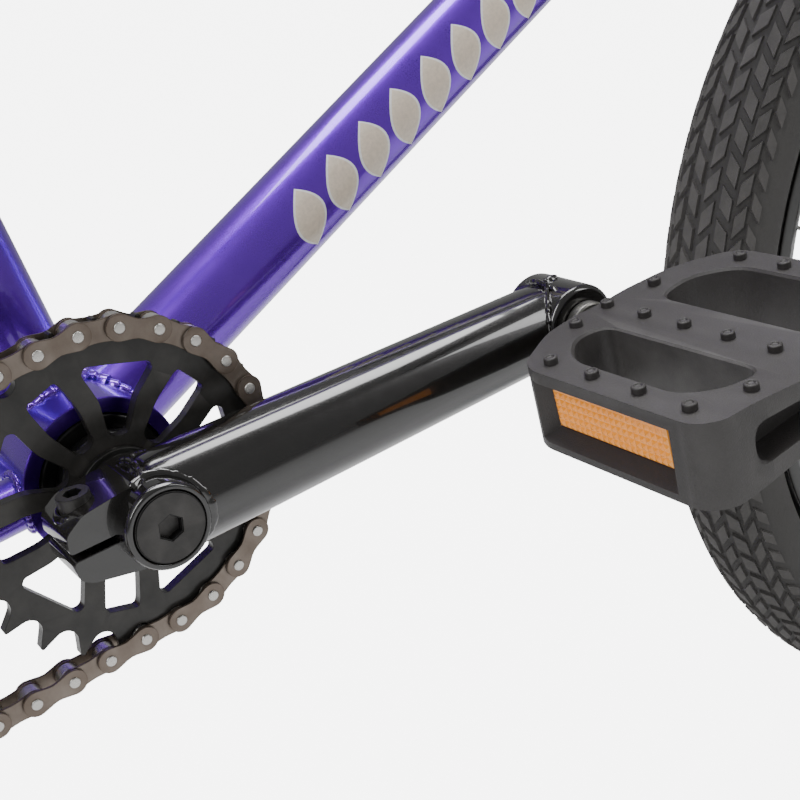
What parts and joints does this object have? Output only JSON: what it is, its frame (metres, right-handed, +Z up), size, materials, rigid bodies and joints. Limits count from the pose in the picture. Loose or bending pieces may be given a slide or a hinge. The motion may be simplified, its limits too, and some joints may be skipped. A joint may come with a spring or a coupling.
{
  "type": "bmx bike",
  "caption": "Small-wheeled single-speed stunt bike with a rigid steel frame, high-rise handlebar with crossbar, tubular crank arms, platform pedals and chain drive.",
  "frame": {"origin": "on the ground, midway along the bike's length and on its centre plane", "axes": "+X forwards, +Z up, the drive side at -Y"},
  "size_m": [1.3898, 0.7324, 0.9061],
  "materials": {
    "paint": "candy purple over silver",
    "black_metal": "gloss black",
    "satin_metal": "satin black",
    "chain": "brown steel plates",
    "steel": "plain steel",
    "tyre": "tread rubber",
    "rubber": "grip rubber",
    "saddle": "padded cover",
    "plastic": "fine grained moulding",
    "amber": "prismatic reflector"
  },
  "bodies": {
    "frame": {"bb_shell": "paint", "bb_bearing_right": "black_metal", "bb_bearing_left": "black_metal", "head_tube": "paint", "headset_bearing_lower": "steel", "headset_bearing_upper": "steel", "down_tube": "paint", "top_tube": "paint", "seat_tube": "paint", "seat_clamp": "black_metal", "dropout_right": "paint", "dropout_left": "paint", "chainstay_right": "paint", "chainstay_left": "paint", "seatstay_right": "paint", "seatstay_left": "paint", "rear_axle": "steel", "rear_nut_right": "steel", "rear_nut_left": "steel", "chain": "chain"},
    "crank": {"spindle": "satin_metal", "crank_arm_right": "black_metal", "crank_arm_left": "black_metal", "spindle_bolt_right": "satin_metal", "spindle_bolt_left": "satin_metal", "pinch_bolt_right": "satin_metal", "pinch_bolt_left": "satin_metal", "pedal_axle_right": "steel", "pedal_axle_left": "steel", "sprocket": "satin_metal"},
    "driver": {"driver_cog": "steel"},
    "pedal_right": {"pedal_right": "plastic", "pedal_reflector_rear_right": "amber", "pedal_reflector_front_right": "amber"},
    "pedal_left": {"pedal_left": "plastic", "pedal_reflector_rear_left": "amber", "pedal_reflector_front_left": "amber"},
    "rear_wheel": {"rear_hub": "satin_metal", "rear_rim": "satin_metal", "rear_tyre": "tyre"},
    "front_wheel": {"front_hub": "satin_metal", "front_rim": "satin_metal", "front_tyre": "tyre"},
    "steering": {"fork_steerer": "black_metal", "fork_leg_right": "black_metal", "fork_leg_left": "black_metal", "front_axle": "steel", "front_nut_right": "steel", "front_nut_left": "steel", "headset_spacer": "black_metal", "stem_body": "black_metal", "stem_plate": "black_metal", "top_cap": "black_metal", "handlebar": "black_metal", "crossbar": "black_metal", "grip_right": "rubber", "grip_left": "rubber"},
    "seat": {"seat_post": "black_metal", "saddle": "saddle"}
  },
  "joints": [
    {"name": "steer", "type": "hinge", "parent": "frame", "child": "steering", "pos_m": [0.31579, 0, 0.59289], "axis": [-0.2672, 0, 0.9636], "continuous": true},
    {"name": "front_wheel_spin", "type": "hinge", "parent": "steering", "child": "front_wheel", "pos_m": [0.4409, 0, 0.254], "axis": [0, 1, 0], "continuous": true},
    {"name": "rear_wheel_spin", "type": "hinge", "parent": "frame", "child": "rear_wheel", "pos_m": [-0.4409, 0, 0.254], "axis": [0, 1, 0], "continuous": true},
    {"name": "crank_spin", "type": "hinge", "parent": "frame", "child": "crank", "pos_m": [-0.0971, 0, 0.3], "axis": [0, 1, 0], "continuous": true},
    {"name": "driver_spin", "type": "hinge", "parent": "frame", "child": "driver", "pos_m": [-0.4409, 0, 0.254], "axis": [0, 1, 0], "continuous": true},
    {"name": "pedal_right_spin", "type": "hinge", "parent": "crank", "child": "pedal_right", "pos_m": [0.05965, 0, 0.3198], "axis": [0, 1, 0], "continuous": true},
    {"name": "pedal_left_spin", "type": "hinge", "parent": "crank", "child": "pedal_left", "pos_m": [-0.25385, 0, 0.2802], "axis": [0, 1, 0], "continuous": true},
    {"name": "seat_height", "type": "slide", "parent": "frame", "child": "seat", "axis": [-0.2588, 0, 0.9659], "range_m": [-0.02, 0.05]}
  ],
  "couplings": [
    {"joint": "driver_spin", "follows": "crank_spin", "ratio": 2.7778}
  ]
}
